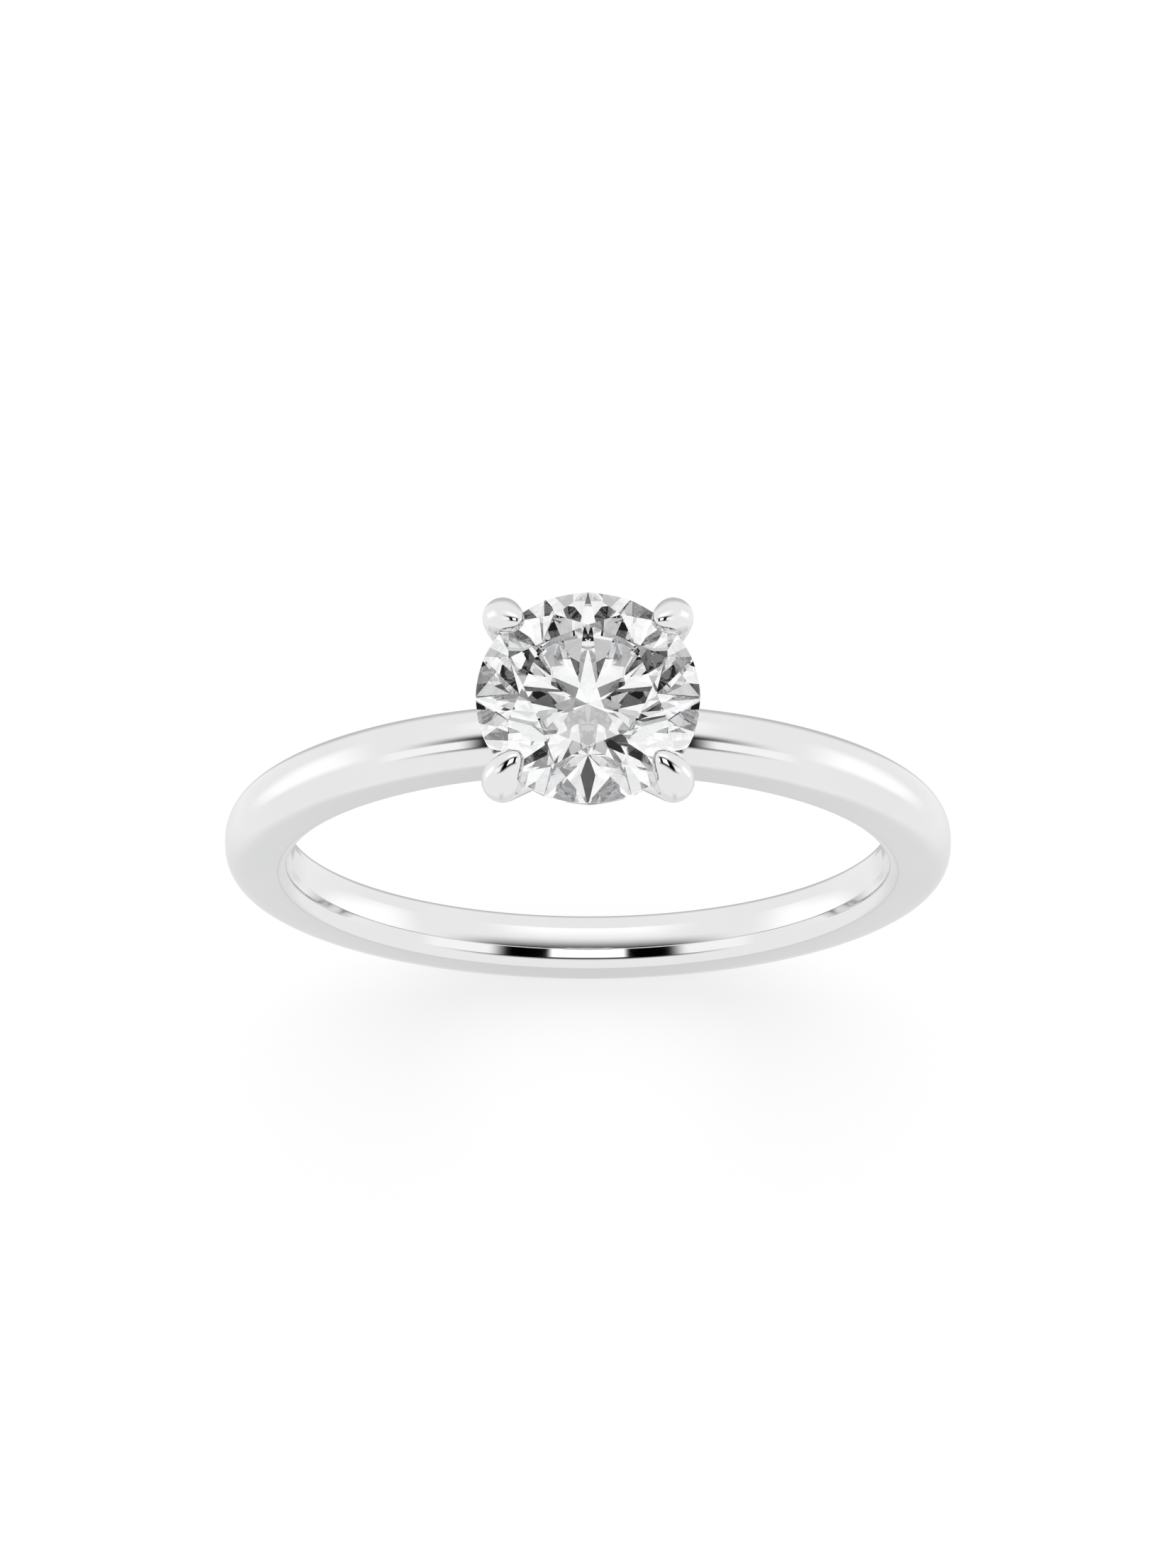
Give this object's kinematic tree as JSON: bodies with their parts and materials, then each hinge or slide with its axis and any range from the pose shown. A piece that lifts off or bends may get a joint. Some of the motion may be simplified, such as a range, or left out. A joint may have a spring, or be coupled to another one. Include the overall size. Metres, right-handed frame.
{
  "type": "engagement ring",
  "caption": "Solitaire engagement ring: a slim comfort-fit band with a round brilliant stone held by round claws on a collet and gallery rail.",
  "frame": {"origin": "centre of the finger hole, in the middle of the band's width", "axes": "+Z from the finger hole through the stone, the way its table faces; +Y along the finger; +X across the band"},
  "size_m": [0.0204, 0.0058, 0.0234],
  "materials": {
    "polished_white_gold": "mirror polished, rhodium plated",
    "diamond": "polished facets, clear and colourless, refractive index 2.42"
  },
  "bodies": {
    "root": {"shank": "polished_white_gold", "head_collet": "polished_white_gold", "gallery_rail": "polished_white_gold", "claw_front_left": "polished_white_gold", "claw_front_right": "polished_white_gold", "claw_back_left": "polished_white_gold", "claw_back_right": "polished_white_gold", "diamond": "diamond"}
  },
  "joints": []
}
